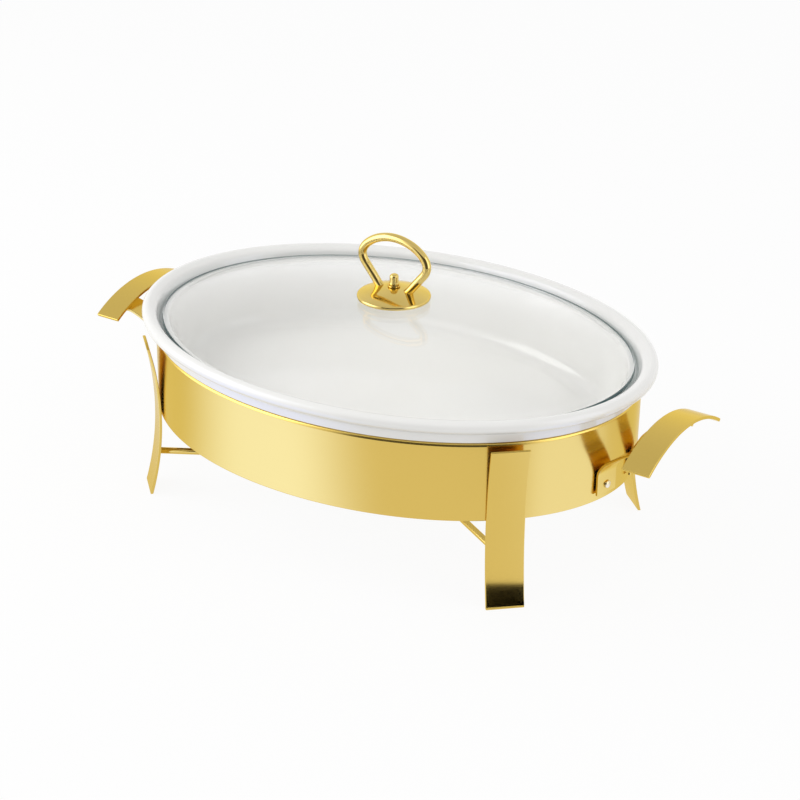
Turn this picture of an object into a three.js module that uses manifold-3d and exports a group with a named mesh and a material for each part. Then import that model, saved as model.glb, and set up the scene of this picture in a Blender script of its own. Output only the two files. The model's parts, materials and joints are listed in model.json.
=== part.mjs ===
// Oval food warmer: a glazed casserole dish with a domed glass lid, carried in a
// gold-coloured stand of one oval band, four bowed strap legs, two arched handles,
// two crossing rods and a candle cup.
// Millimetres, +Z up, origin on the table under the centre of the oval, long axis along X.
import * as THREE from "three";
import { mergeVertices } from "three/addons/utils/BufferGeometryUtils.js";
import Module from "manifold-3d";

const wasm = await Module();
wasm.setup();

// Running clearance between two pieces that touch.
const GAP = 0.3;
// Facets round every oval.
const OVAL_FACETS = 48;

// Band: half length and half width of its outer face, and its height range.
const BAND_A = 174.8;
const BAND_B = 130.2;
const BAND_BOTTOM = 57.9;
const BAND_TOP = 111.4;
const BAND_WALL = 1.4;
const BAND_SHOULDER = 2.5;
const BAND_LEDGE = 6.1;

// Legs: flat strap bowed towards the band, so both ends stand away from it.
const STRAP_WIDTH = 24.8;
const STRAP_THICKNESS = 2.0;
const LEG_TOP = 109.2;
const LEG_BOW_RADIUS = 205;
const LEG_TOUCH_HEIGHT = 57;
const LEG_FACING = THREE.MathUtils.degToRad(43.6);
const LEG_STEPS = 16;

// Rods that cross under the dish, one above the other.
const ROD_RADIUS = 2.25;
const ROD_LOW = 27.6;
const ROD_HIGH = ROD_LOW + 2 * ROD_RADIUS + GAP;
const ROD_END_RELIEF = 0.95;

// Handles: arched strap along Y beyond each end of the band.
const HANDLE_INNER = 200;
const HANDLE_OUTER = 218.8;
const HANDLE_HALF_SPAN = 50;
const HANDLE_CROWN = 114;
const HANDLE_ARCH_RADIUS = 92;
const HANDLE_THICKNESS = 2.2;
const HANDLE_STEPS = 18;

// Handle arms: strap that hangs flat on the band, then bends out under the handle.
const ARM_WIDTH = 18;
const ARM_THICKNESS = 1.8;
const ARM_Y = 18.5;
const ARM_SPLAY = THREE.MathUtils.degToRad(18);
const ARM_TILT = THREE.MathUtils.degToRad(6);
const ARM_TOP = 103.2;
const TAB_BOTTOM = 62.6;
const TAB_STAND_OFF = 0.75;
const RIVET_HEIGHT = 68.6;
const RIVET_SHANK = 1.6;
const RIVET_HEAD = 2.8;
const RIVET_TAIL = 2.5;

// Dish: rim, seat for the lid, walls and floor.
const RIM_A = 185;
const RIM_B = 138;
const RIM_HEIGHT = 123.6;
const RIM_ROLL = 5;
const LID_SEAT = 119.4;
const DISH_FLOOR = 77;
const DISH_BOTTOM = 71.2;

// Lid glass: outline, thickness and heights of its top face.
const LID_A = 169.6;
const LID_B = 127.7;
const GLASS = 3.6;
const LID_EDGE_TOP = 123.3;
const LID_CROWN = 146.5;
const LID_HOLE = 4.2;
const LID_FLAT = 14;
// Shares of the outline where the dome has a ring, and the share where it starts to rise.
const LID_DOME = [0.95, 0.87, 0.77, 0.65, 0.5, 0.34];
const LID_DOME_REACH = 0.97;

// Knob: domed plate, wire ring, and the screw stack through the glass.
const PLATE_RADIUS = 24.8;
const PLATE_BOTTOM = 147.8;
const PLATE_EDGE_TOP = 150.3;
const PLATE_CROWN = 155.2;
const RING_WIRE = 2.85;
const RING_CROWN = 189.3;
const SCREW_RADIUS = 2.4;
const SCREW_HOLE = 2.8;
const NUT_RADIUS = 3.5;
const NUT_TOP = 164;
const NUT_CAP = 2;
const WASHER_THICKNESS = 1.1;
const SEAL_THICKNESS = 1;
const SCREW_HEAD = 4.5;
const SCREW_HEAD_HEIGHT = 2.6;

// Candle cup and tealight.
const CUP_RADIUS = 23;
const CUP_WALL = 1.2;
const CUP_HEIGHT = 12;
const CUP_DRAIN = 3;
const TEALIGHT_RADIUS = 19;
const TEALIGHT_HEIGHT = 15;
const TEALIGHT_WALL = 0.6;
const WAX_BELOW_RIM = 2;
const WICK_RADIUS = 0.8;
const WICK_ABOVE_RIM = 4;
const WICK_TAB_RADIUS = 6;
const WICK_TAB_THICKNESS = 0.6;

const object = new THREE.Group();

const finish = (color, roughness, metalness) =>
  new THREE.MeshStandardMaterial({ color, roughness, metalness });
const gold = () => finish(0xd8b45f, 0.28, 1);
const polishedGold = () => finish(0xe0b95a, 0.12, 1);
const steel = () => finish(0xb9bcc0, 0.3, 1);
const rubber = () => finish(0xdfe2df, 0.7, 0);

// Adds one named piece.
function piece(name, geometry, material) {
  const closed = outward(geometry);
  closed.computeVertexNormals();
  const mesh = new THREE.Mesh(closed, material);
  mesh.name = name;
  object.add(mesh);
}

// The same shape with only positions left, shared vertices merged and faces turned outward.
function outward(geometry) {
  const bare = geometry.clone();
  bare.deleteAttribute("normal");
  bare.deleteAttribute("uv");
  const closed = mergeVertices(bare, 1e-4);
  if (signedVolume(closed) < 0) flip(closed);
  return closed;
}

function signedVolume(geometry) {
  const p = geometry.attributes.position;
  const index = geometry.index.array;
  const [a, b, c] = [new THREE.Vector3(), new THREE.Vector3(), new THREE.Vector3()];
  let sum = 0;
  for (let i = 0; i < index.length; i += 3) {
    a.fromBufferAttribute(p, index[i]);
    b.fromBufferAttribute(p, index[i + 1]);
    c.fromBufferAttribute(p, index[i + 2]);
    sum += a.dot(b.cross(c));
  }
  return sum / 6;
}

function flip(geometry) {
  const index = geometry.index.array;
  for (let i = 0; i < index.length; i += 3) {
    [index[i], index[i + 1]] = [index[i + 1], index[i]];
  }
}

// A solid that manifold-3d can cut, from a closed shape, and the shape back from a solid.
function toSolid(geometry) {
  const closed = outward(geometry);
  return new wasm.Manifold(
    new wasm.Mesh({
      numProp: 3,
      vertProperties: new Float32Array(closed.attributes.position.array),
      triVerts: new Uint32Array(closed.index.array),
    }),
  );
}

function fromSolid(solid) {
  const mesh = solid.getMesh();
  const geometry = new THREE.BufferGeometry();
  geometry.setAttribute("position", new THREE.BufferAttribute(mesh.vertProperties, 3));
  geometry.setIndex(new THREE.BufferAttribute(mesh.triVerts, 1));
  return geometry;
}

// An oval body: rings of [half length, half width, height], closed or ending on the axis.
function ovalBody(rings) {
  const profile = rings.map(([a, , z]) => new THREE.Vector2(a, z));
  const geometry = new THREE.LatheGeometry(profile, OVAL_FACETS);
  const p = geometry.attributes.position;
  for (let i = 0; i < p.count; i += 1) {
    const [a, b] = rings[i % rings.length];
    p.setZ(i, a > 0 ? (p.getZ(i) * b) / a : 0);
  }
  return geometry.rotateX(Math.PI / 2);
}

// A round body about the Z axis from [radius, height] points.
function roundBody(points, facets = 32) {
  const profile = points.map(([r, z]) => new THREE.Vector2(r, z));
  return new THREE.LatheGeometry(profile, facets).rotateX(Math.PI / 2);
}

// A flat strap swept through stations, each a centre, a width direction and a face direction.
function strap(stations, width, thickness) {
  const steps = stations.length - 1;
  const geometry = new THREE.BoxGeometry(1, 1, 1, 1, 1, steps);
  const p = geometry.attributes.position;
  const point = new THREE.Vector3();
  for (let i = 0; i < p.count; i += 1) {
    const { centre, across, face } = stations[Math.round((p.getZ(i) + 0.5) * steps)];
    point.copy(centre);
    point.addScaledVector(across, p.getX(i) * width);
    point.addScaledVector(face, p.getY(i) * thickness);
    p.setXYZ(i, point.x, point.y, point.z);
  }
  return geometry;
}

// Arc points from one angle to another (degrees) for a rounded profile.
function arc(a, b, z, radius, from, to, steps) {
  return Array.from({ length: steps + 1 }, (_, i) => {
    const t = THREE.MathUtils.degToRad(from + ((to - from) * i) / steps);
    const out = radius * Math.cos(t);
    return [a + out, b + out, z + radius * Math.sin(t)];
  });
}

// Where the band's outer face points in a given direction (angle from +Y towards +X).
function bandPoint(facing) {
  const [nx, ny] = [Math.sin(facing), Math.cos(facing)];
  const k = 1 / Math.hypot(BAND_A * nx, BAND_B * ny);
  return new THREE.Vector2(BAND_A ** 2 * nx * k, BAND_B ** 2 * ny * k);
}

// Band: thin upright wall, rounded shoulder and a ledge turned in under the dish rim.
function bandGeometry() {
  const [a, b] = [BAND_A - BAND_SHOULDER, BAND_B - BAND_SHOULDER];
  const z = BAND_TOP - BAND_SHOULDER;
  const ledge = [BAND_A - BAND_LEDGE, BAND_B - BAND_LEDGE];
  const innerBottom = [BAND_A - BAND_WALL, BAND_B - BAND_WALL, BAND_BOTTOM];
  return ovalBody([
    innerBottom,
    [BAND_A, BAND_B, BAND_BOTTOM],
    ...arc(a, b, z, BAND_SHOULDER, 0, 90, 4),
    [...ledge, BAND_TOP],
    [...ledge, BAND_TOP - BAND_WALL],
    ...arc(a, b, z, BAND_SHOULDER - BAND_WALL, 90, 0, 3),
    innerBottom,
  ]);
}

// How far the inner face of a leg stands off the band at a height.
function legStandOff(z) {
  return GAP + (z - LEG_TOUCH_HEIGHT) ** 2 / (2 * LEG_BOW_RADIUS);
}

// One leg, cut flat at the table, for the corner (sx, sy).
function legGeometry(sx, sy) {
  const touch = bandPoint(LEG_FACING);
  const out = new THREE.Vector3(sx * Math.sin(LEG_FACING), sy * Math.cos(LEG_FACING), 0);
  const across = new THREE.Vector3(out.y, -out.x, 0);
  const stations = [];
  for (let i = 0; i <= LEG_STEPS; i += 1) {
    const z = (LEG_TOP * i) / LEG_STEPS;
    const centre = new THREE.Vector3(sx * touch.x, sy * touch.y, z);
    centre.addScaledVector(out, legStandOff(z) + STRAP_THICKNESS / 2);
    stations.push({ centre, across, face: out });
  }
  return strap(stations, STRAP_WIDTH, STRAP_THICKNESS);
}

// Rod from one leg to the opposite one through the centre line, at a height.
function rodGeometry(z, sy) {
  const touch = bandPoint(LEG_FACING);
  const legReach = touch.x * Math.sin(LEG_FACING) + touch.y * Math.cos(LEG_FACING);
  const lean = legReach / touch.length();
  const half = (legReach + legStandOff(z)) / lean - ROD_END_RELIEF;
  const geometry = new THREE.CylinderGeometry(ROD_RADIUS, ROD_RADIUS, 2 * half, 16);
  geometry.rotateZ(-Math.PI / 2);
  geometry.rotateZ(sy * Math.atan2(touch.y, touch.x));
  return geometry.translate(0, 0, z);
}

// Height of the handle's top face at y.
function handleTop(y) {
  return HANDLE_CROWN - HANDLE_ARCH_RADIUS + Math.sqrt(HANDLE_ARCH_RADIUS ** 2 - y ** 2);
}

// Handle strap, bent to an arch over the arms.
function handleGeometry(sx) {
  const across = new THREE.Vector3(1, 0, 0);
  const sweep = Math.asin(HANDLE_HALF_SPAN / HANDLE_ARCH_RADIUS);
  const middle = HANDLE_ARCH_RADIUS - HANDLE_THICKNESS / 2;
  const x = (sx * (HANDLE_INNER + HANDLE_OUTER)) / 2;
  const stations = [];
  for (let i = 0; i <= HANDLE_STEPS; i += 1) {
    const t = sweep * ((2 * i) / HANDLE_STEPS - 1);
    const face = new THREE.Vector3(0, Math.sin(t), Math.cos(t));
    const centre = new THREE.Vector3(x, 0, HANDLE_CROWN - HANDLE_ARCH_RADIUS);
    centre.addScaledVector(face, middle);
    stations.push({ centre, across, face });
  }
  return strap(stations, HANDLE_OUTER - HANDLE_INNER, HANDLE_THICKNESS);
}

// Where an arm's tab lies on the band, and the way the band faces there.
function tabFrame() {
  const x = BAND_A * Math.sqrt(1 - (ARM_Y / BAND_B) ** 2);
  const facing = Math.atan2(ARM_Y / BAND_B ** 2, x / BAND_A ** 2);
  return { x, facing };
}

// Centre line of an arm as [distance out from the band, height].
const ARM_LINE = [
  [0, TAB_BOTTOM],
  [0, 70],
  [0, 77],
  [1.2, 80.6],
  [3.6, 84.2],
  [7.2, 88],
  [11.4, 91.3],
  [16.4, 95],
  [21.6, 98.8],
  [26.2, 101.6],
];
const ARM_UNDER_HANDLE = [30, 33.5, 37];
const ARM_BEND_LENGTH = 12;

// Height of an arm's centre line where it lies under the handle, s out from the band.
function armUnderHandle(s) {
  const outerY = ARM_Y + s * Math.sin(ARM_SPLAY) + (ARM_WIDTH / 2) * Math.cos(ARM_SPLAY);
  const lean = Math.sqrt(1 - (outerY / HANDLE_ARCH_RADIUS) ** 2);
  const under = handleTop(outerY) - HANDLE_THICKNESS / lean - 2 * GAP;
  const rise = (ARM_WIDTH / 2) * Math.sin(ARM_TILT);
  return Math.min(under + rise - ARM_THICKNESS / 2, ARM_TOP);
}

// One arm; over the length of its bend it turns from the band's facing to its own splay.
function armGeometry(sx, sy) {
  const { x, facing } = tabFrame();
  const line = [...ARM_LINE, ...ARM_UNDER_HANDLE.map((s) => [s, armUnderHandle(s)])];
  const stations = line.map(([s, z], i) => {
    const [beforeS, beforeZ] = line[Math.max(i - 1, 0)];
    const [afterS, afterZ] = line[Math.min(i + 1, line.length - 1)];
    const bend = Math.min(s / ARM_BEND_LENGTH, 1);
    const heading = facing + (ARM_SPLAY - facing) * bend;
    const out = new THREE.Vector3(sx * Math.cos(heading), sy * Math.sin(heading), 0);
    const across = new THREE.Vector3(-out.y, out.x, 0);
    across.multiplyScalar(sx * sy * Math.cos(ARM_TILT * bend));
    across.z = -Math.sin(ARM_TILT * bend);
    const slope = Math.atan2(afterZ - beforeZ, afterS - beforeS);
    const face = out.clone().multiplyScalar(Math.sin(slope));
    face.z = -Math.cos(slope);
    const centre = new THREE.Vector3(sx * x, sy * ARM_Y, z);
    centre.addScaledVector(out, s + TAB_STAND_OFF + ARM_THICKNESS / 2);
    return { centre, across, face };
  });
  return strap(stations, ARM_WIDTH, ARM_THICKNESS);
}

// Places a body made along +Z so that it points out of the band through a tab.
function alongTab(geometry, sx, sy) {
  const { x, facing } = tabFrame();
  const out = new THREE.Vector3(sx * Math.cos(facing), sy * Math.sin(facing), 0);
  const turn = new THREE.Quaternion().setFromUnitVectors(new THREE.Vector3(0, 0, 1), out);
  geometry.applyQuaternion(turn);
  return geometry.translate(sx * x, sy * ARM_Y, RIVET_HEIGHT);
}

// Domed rivet: head outside the tab, shank through tab and band, closed head inside.
function rivetBody(sx, sy) {
  const outside = TAB_STAND_OFF + ARM_THICKNESS + GAP;
  const inside = -BAND_WALL - GAP;
  const profile = [
    [0, inside - 1.1],
    [RIVET_TAIL - 0.5, inside - 1.1],
    [RIVET_TAIL, inside - 0.7],
    [RIVET_TAIL, inside],
    [RIVET_SHANK, inside],
    [RIVET_SHANK, outside],
    [RIVET_HEAD, outside],
    [RIVET_HEAD - 0.3, outside + 0.8],
    [RIVET_HEAD - 1.3, outside + 1.4],
    [0, outside + 1.6],
  ];
  return alongTab(roundBody(profile, 12), sx, sy);
}

function rivetHole(sx, sy) {
  const radius = RIVET_SHANK + GAP;
  const hole = new THREE.CylinderGeometry(radius, radius, 16, 16);
  return alongTab(hole.rotateX(Math.PI / 2), sx, sy);
}

// Casserole dish: rolled rim, seat for the lid, sloping wall, rounded floor.
function dishGeometry() {
  const [a, b] = [RIM_A - RIM_ROLL, RIM_B - RIM_ROLL];
  const foot = BAND_TOP + GAP;
  return ovalBody([
    [0, 0, DISH_BOTTOM],
    [150, 101.5, DISH_BOTTOM],
    [157, 109, 73],
    [161.5, 114, 78.5],
    [164, 117.6, 88],
    [166.6, 122, foot],
    [172.5, 127.9, foot],
    [173.6, 128.9, 114],
    [176, 130.6, 116.8],
    ...arc(a, b, RIM_HEIGHT, RIM_ROLL, -90, 90, 6),
    [176.9, 132.2, 127.6],
    [174.2, 131, 125],
    [172.2, 129.9, 121.6],
    [171.2, 129.2, LID_SEAT],
    [165.6, 121.4, LID_SEAT],
    [163.4, 118.9, 117],
    [162.2, 117.2, 110],
    [160, 113.4, 94],
    [158.2, 110.4, 83],
    [154.6, 106, 78.6],
    [148, 99.5, DISH_FLOOR],
    [0, 0, DISH_FLOOR],
  ]);
}

// Lid glass: a parabolic dome with a flat for the knob, a polished edge and a screw hole.
function lidGeometry() {
  const springing = LID_EDGE_TOP + 0.4;
  const rise = LID_CROWN - 0.3 - springing;
  const top = LID_DOME.map((k) => {
    const reach = k / LID_DOME_REACH;
    return [LID_A * k, LID_B * k, springing + rise * (1 - reach ** 2)];
  });
  const under = top.map(([a, b, z]) => [a, b, z - GLASS]).reverse();
  const holeUnder = [LID_HOLE, LID_HOLE, LID_CROWN - GLASS];
  return ovalBody([
    holeUnder,
    [LID_FLAT, LID_FLAT, LID_CROWN - GLASS],
    ...under,
    [LID_A - 1.2, LID_B - 1.2, LID_EDGE_TOP - GLASS],
    [LID_A - 0.2, LID_B - 0.2, LID_EDGE_TOP - GLASS + 1],
    [LID_A, LID_B, LID_EDGE_TOP - GLASS / 2],
    [LID_A - 0.2, LID_B - 0.2, LID_EDGE_TOP - 0.8],
    [LID_A - 1, LID_B - 1, LID_EDGE_TOP],
    ...top,
    [LID_FLAT, LID_FLAT, LID_CROWN],
    [LID_HOLE, LID_HOLE, LID_CROWN],
    holeUnder,
  ]);
}

// The plate's domed top from its edge inwards, raised by lift.
function plateDome(lift) {
  const rise = PLATE_CROWN - PLATE_EDGE_TOP;
  const dome = [
    [18, PLATE_EDGE_TOP + 0.37 * rise],
    [12, PLATE_EDGE_TOP + 0.74 * rise],
    [6, PLATE_CROWN],
  ];
  return dome.map(([radius, z]) => [radius, z + lift]);
}

// Round plate under the knob ring, slightly domed, with a hole for the screw.
function plateGeometry() {
  const profile = [
    [SCREW_HOLE, PLATE_BOTTOM],
    [PLATE_RADIUS - 0.4, PLATE_BOTTOM],
    [PLATE_RADIUS, PLATE_BOTTOM + 0.5],
    [PLATE_RADIUS, PLATE_EDGE_TOP - 0.5],
    [PLATE_RADIUS - 0.6, PLATE_EDGE_TOP],
    ...plateDome(0),
    [SCREW_HOLE, PLATE_CROWN],
    [SCREW_HOLE, PLATE_BOTTOM],
  ];
  return roundBody(profile, 36);
}

// One side of the ring's centre line as [x, height], from its foot to beside its crown.
const RING_SIDE = [
  [8.6, 151],
  [12.6, 155.2],
  [16.8, 160.4],
  [20.8, 165.2],
  [24.1, 169.4],
  [25.4, 173.6],
  [24.4, 177.8],
  [20.9, 182],
  [14.8, 186],
  [7.4, 188.5],
];

// Open loop of wire standing on the plate; each foot is cut to the plate's dome.
function knobRingGeometry() {
  const right = RING_SIDE.map(([x, z]) => new THREE.Vector3(x, 0, z));
  const left = RING_SIDE.map(([x, z]) => new THREE.Vector3(-x, 0, z)).reverse();
  const crown = new THREE.Vector3(0, 0, RING_CROWN);
  const path = new THREE.CatmullRomCurve3([...right, crown, ...left]);
  const wire = new THREE.Shape().absarc(0, 0, RING_WIRE, 0, 2 * Math.PI);
  const loop = new THREE.ExtrudeGeometry(wire, {
    extrudePath: path,
    steps: 44,
    curveSegments: 6,
    bevelEnabled: false,
  });
  const belowFeet = PLATE_BOTTOM - 8;
  const cutter = roundBody([
    [0, belowFeet],
    [PLATE_RADIUS, belowFeet],
    [PLATE_RADIUS, PLATE_EDGE_TOP + GAP],
    ...plateDome(GAP),
    [0, PLATE_CROWN + GAP],
  ]);
  return fromSolid(toSolid(loop).subtract(toSolid(cutter)));
}

// A flat ring round the screw.
function washer(outer, bottom, top) {
  const profile = [
    [SCREW_HOLE, bottom],
    [outer, bottom],
    [outer, top],
    [SCREW_HOLE, top],
    [SCREW_HOLE, bottom],
  ];
  return roundBody(profile, 20);
}

function addStand() {
  const sides = { right: 1, left: -1 };
  const ends = { front: -1, back: 1 };
  let band = toSolid(bandGeometry());
  for (const [side, sx] of Object.entries(sides)) {
    for (const [end, sy] of Object.entries(ends)) {
      const hole = toSolid(rivetHole(sx, sy));
      const arm = toSolid(armGeometry(sx, sy)).subtract(hole);
      band = band.subtract(hole);
      piece(`leg_${end}_${side}`, legGeometry(sx, sy), gold());
      piece(`handle_arm_${end}_${side}`, fromSolid(arm), gold());
      piece(`arm_rivet_${end}_${side}`, rivetBody(sx, sy), steel());
    }
    piece(`handle_${side}`, handleGeometry(sx), gold());
  }
  piece("stand_band", fromSolid(band), gold());
  piece("cross_rod_lower", rodGeometry(ROD_LOW, 1), gold());
  piece("cross_rod_upper", rodGeometry(ROD_HIGH, -1), gold());
}

// Candle cup on the crossing of the rods, with a drain hole through its floor.
function addCandleCup(bottom) {
  const rim = bottom + CUP_HEIGHT;
  const profile = [
    [CUP_DRAIN, bottom],
    [CUP_RADIUS - 1.5, bottom],
    [CUP_RADIUS, bottom + 1.5],
    [CUP_RADIUS, rim],
    [CUP_RADIUS - CUP_WALL, rim],
    [CUP_RADIUS - CUP_WALL, bottom + CUP_WALL],
    [CUP_DRAIN, bottom + CUP_WALL],
    [CUP_DRAIN, bottom],
  ];
  piece("candle_cup", roundBody(profile, 28), gold());
}

// Foil cup filled with wax, and a wick held by a round tab under the wax.
function addTealight(base) {
  const rim = base + TEALIGHT_HEIGHT;
  const inner = TEALIGHT_RADIUS - TEALIGHT_WALL;
  const shell = [
    [0, base],
    [TEALIGHT_RADIUS - 0.8, base],
    [TEALIGHT_RADIUS, base + 0.8],
    [TEALIGHT_RADIUS, rim],
    [inner, rim],
    [inner, base + TEALIGHT_WALL],
    [0, base + TEALIGHT_WALL],
  ];
  piece("tealight_shell", roundBody(shell, 24), finish(0xc9ccd0, 0.35, 1));

  const tabBottom = base + TEALIGHT_WALL + GAP;
  const tabTop = tabBottom + WICK_TAB_THICKNESS;
  const tab = [
    [0, tabBottom],
    [WICK_TAB_RADIUS, tabBottom],
    [WICK_TAB_RADIUS, tabTop],
    [0, tabTop],
  ];
  piece("tealight_wick_tab", roundBody(tab, 16), steel());

  const wickBore = WICK_RADIUS + GAP;
  const pocketRadius = WICK_TAB_RADIUS + GAP;
  const pocketTop = tabTop + 3 * GAP;
  const waxTop = rim - WAX_BELOW_RIM;
  const wax = [
    [wickBore, pocketTop],
    [pocketRadius, pocketTop],
    [pocketRadius, tabBottom],
    [inner - GAP, tabBottom],
    [inner - GAP, waxTop],
    [wickBore, waxTop - 0.4],
    [wickBore, pocketTop],
  ];
  piece("tealight_wax", roundBody(wax, 24), finish(0xf3efe2, 0.6, 0));

  const wickBottom = tabTop + GAP;
  const wickTop = rim + WICK_ABOVE_RIM;
  const wick = new THREE.CylinderGeometry(WICK_RADIUS, WICK_RADIUS, wickTop - wickBottom, 10);
  wick.rotateX(Math.PI / 2);
  wick.translate(0, 0, (wickTop + wickBottom) / 2);
  piece("tealight_wick", wick, finish(0xe9e2cf, 0.9, 0));
}

// Lid glass, and the knob clamped through it by one screw.
function addLid() {
  piece("glass_lid", lidGeometry(), finish(0xdfe9e6, 0.05, 0));
  addKnobAboveGlass();
  addKnobBelowGlass();
}

function addKnobAboveGlass() {
  const upperSeal = washer(12, LID_CROWN + GAP, PLATE_BOTTOM - GAP);
  piece("knob_seal_upper", upperSeal, rubber());
  piece("knob_plate", plateGeometry(), polishedGold());
  piece("knob_ring", knobRingGeometry(), polishedGold());
  const washerBottom = PLATE_CROWN + GAP;
  const washerTop = washerBottom + WASHER_THICKNESS;
  piece("knob_washer_upper", washer(4.2, washerBottom, washerTop), polishedGold());
  addCapNut(washerTop + GAP);
}

function addKnobBelowGlass() {
  const sealTop = LID_CROWN - GLASS - GAP;
  const sealBottom = sealTop - SEAL_THICKNESS;
  piece("knob_seal_lower", washer(8, sealBottom, sealTop), rubber());
  const washerTop = sealBottom - GAP;
  const washerBottom = washerTop - WASHER_THICKNESS;
  piece("knob_washer_lower", washer(7.4, washerBottom, washerTop), steel());
  addScrew(washerBottom - GAP);
}

// Closed-top nut that shows in the middle of the plate.
function addCapNut(bottom) {
  const boreTop = NUT_TOP - NUT_CAP;
  const profile = [
    [SCREW_HOLE, bottom],
    [NUT_RADIUS, bottom],
    [NUT_RADIUS, NUT_TOP - 1.6],
    [NUT_RADIUS - 0.8, NUT_TOP - 0.5],
    [1.6, NUT_TOP],
    [0, NUT_TOP],
    [0, boreTop],
    [SCREW_HOLE, boreTop],
    [SCREW_HOLE, bottom],
  ];
  piece("knob_cap_nut", roundBody(profile, 18), polishedGold());
}

// Screw with a pan head under the glass; its shank ends inside the cap nut.
function addScrew(headTop) {
  const headBottom = headTop - SCREW_HEAD_HEIGHT;
  const shankTop = NUT_TOP - NUT_CAP - GAP;
  const profile = [
    [0, headBottom],
    [SCREW_HEAD - 1.3, headBottom],
    [SCREW_HEAD, headBottom + 1.2],
    [SCREW_HEAD, headTop],
    [SCREW_RADIUS, headTop],
    [SCREW_RADIUS, shankTop],
    [0, shankTop],
  ];
  piece("knob_screw", roundBody(profile, 16), steel());
}

addStand();
const cupBottom = ROD_HIGH + ROD_RADIUS + GAP;
addCandleCup(cupBottom);
addTealight(cupBottom + CUP_WALL + GAP);
piece("ceramic_dish", dishGeometry(), finish(0xf4f4f2, 0.18, 0));
addLid();

export default object;
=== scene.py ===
"""Oval food warmer: a glazed casserole dish with a glass lid, in a gold-coloured candle stand.

Every piece is made here in metres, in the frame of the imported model, and rides on a body of it.
"""

import json
import math

import bmesh
import bpy
import numpy as np
from mathutils import Matrix, Vector


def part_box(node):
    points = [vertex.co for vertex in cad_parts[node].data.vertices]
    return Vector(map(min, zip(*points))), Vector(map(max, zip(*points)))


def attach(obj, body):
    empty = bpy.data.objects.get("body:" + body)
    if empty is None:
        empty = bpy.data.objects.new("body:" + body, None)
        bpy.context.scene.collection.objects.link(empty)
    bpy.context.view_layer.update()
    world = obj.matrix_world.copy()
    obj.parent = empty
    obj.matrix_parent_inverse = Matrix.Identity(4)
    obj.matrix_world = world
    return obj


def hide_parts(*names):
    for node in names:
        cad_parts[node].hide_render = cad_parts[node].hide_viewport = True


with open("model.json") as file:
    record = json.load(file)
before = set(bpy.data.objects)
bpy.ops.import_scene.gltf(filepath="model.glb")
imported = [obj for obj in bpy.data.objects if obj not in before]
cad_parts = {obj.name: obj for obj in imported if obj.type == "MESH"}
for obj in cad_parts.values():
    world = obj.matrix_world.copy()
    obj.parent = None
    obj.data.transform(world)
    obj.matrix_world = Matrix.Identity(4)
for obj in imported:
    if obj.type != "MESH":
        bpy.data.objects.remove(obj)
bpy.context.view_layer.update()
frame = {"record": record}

MM = 0.001
GAP = 0.3 * MM
ROUND_STEPS = 288
SHARP = math.radians(50)
# The four corners of the stand: the end of their nodes' names, and the signs of x and y there.
CORNERS = [(f"{end}_{side}", sx, sy) for side, sx in (("right", 1), ("left", -1))
           for end, sy in (("front", -1), ("back", 1))]


# ---------------------------------------------------------------- outlines and mesh making

def rounded(corners, steps=5):
    """Points of an outline whose corners, each (a, b, height, rounding), are cut by curves."""
    points = [np.array(corner[:3], float) for corner in corners]
    outline = [points[0]]
    for before, corner, after, (*_, rounding) in zip(points, points[1:], points[2:], corners[1:]):
        if rounding == 0:
            outline.append(corner)
            continue
        start = corner + (before - corner) / np.linalg.norm(before - corner) * rounding
        end = corner + (after - corner) / np.linalg.norm(after - corner) * rounding
        for t in np.linspace(0, 1, steps + 1):
            outline.append((1 - t) ** 2 * start + 2 * t * (1 - t) * corner + t * t * end)
    outline.append(points[-1])
    return outline


def arc(a, b, height, radius, start, end, steps=12):
    """Points of a circular arc in an oval's section, about (a, b, height), angles in degrees."""
    turn = np.radians(np.linspace(start, end, steps + 1))
    return [np.array([a + radius * math.cos(t), b + radius * math.cos(t),
                      height + radius * math.sin(t)]) for t in turn]


def spline(points, per_span=6):
    """A smooth line through the points, which are tuples of any length."""
    p = np.array(points, float)
    p = np.vstack([2 * p[0] - p[1], p, 2 * p[-1] - p[-2]])
    line = []
    for i in range(1, len(p) - 2):
        for t in np.arange(per_span) / per_span:
            line.append(0.5 * (2 * p[i] + (p[i + 1] - p[i - 1]) * t
                               + (2 * p[i - 1] - 5 * p[i] + 4 * p[i + 1] - p[i + 2]) * t ** 2
                               + (3 * p[i] - p[i - 1] - 3 * p[i + 1] + p[i + 2]) * t ** 3))
    line.append(p[-2])
    return line


def ring_faces(rings, sides, closed):
    """Quads between rings of vertices that are numbered ring after ring, and their corners'
    texture coordinates: U counts the sides and V counts the rings."""
    faces = []
    uvs = []
    for r in range(rings if closed else rings - 1):
        upper = (r + 1) % rings
        for s in range(sides):
            following = (s + 1) % sides
            faces.append((r * sides + s, r * sides + following,
                          upper * sides + following, upper * sides + s))
            uvs.append(((s, r), (s + 1, r), (s + 1, r + 1), (s, r + 1)))
    return faces, uvs


def oval_mesh(name, outline, steps=ROUND_STEPS):
    """A body whose section is the outline: closed on itself, or open where it meets the axis."""
    closed = outline[0][0] > 0
    rings = outline[:-1] if closed else [p for p in outline if p[0] > 0]
    turn = np.linspace(0, 2 * math.pi, steps, endpoint=False)
    verts = [(a * math.cos(t), b * math.sin(t), z) for a, b, z in rings for t in turn]
    faces, uvs = ring_faces(len(rings), steps, closed)
    if not closed:
        for ring, pole in ((0, outline[0]), (len(rings) - 1, outline[-1])):
            verts.append((0, 0, pole[2]))
            for s in range(steps):
                faces.append((ring * steps + s, ring * steps + (s + 1) % steps, len(verts) - 1))
                uvs.append(((s, ring), (s + 1, ring), (s, ring + 1)))
    return mesh_from(name, verts, faces, uvs)


def turned_mesh(name, corners, steps=96):
    """A round body from corners (radius, height, rounding)."""
    return oval_mesh(name, rounded([(r, r, z, k) for r, z, k in corners], 4), steps)


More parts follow.
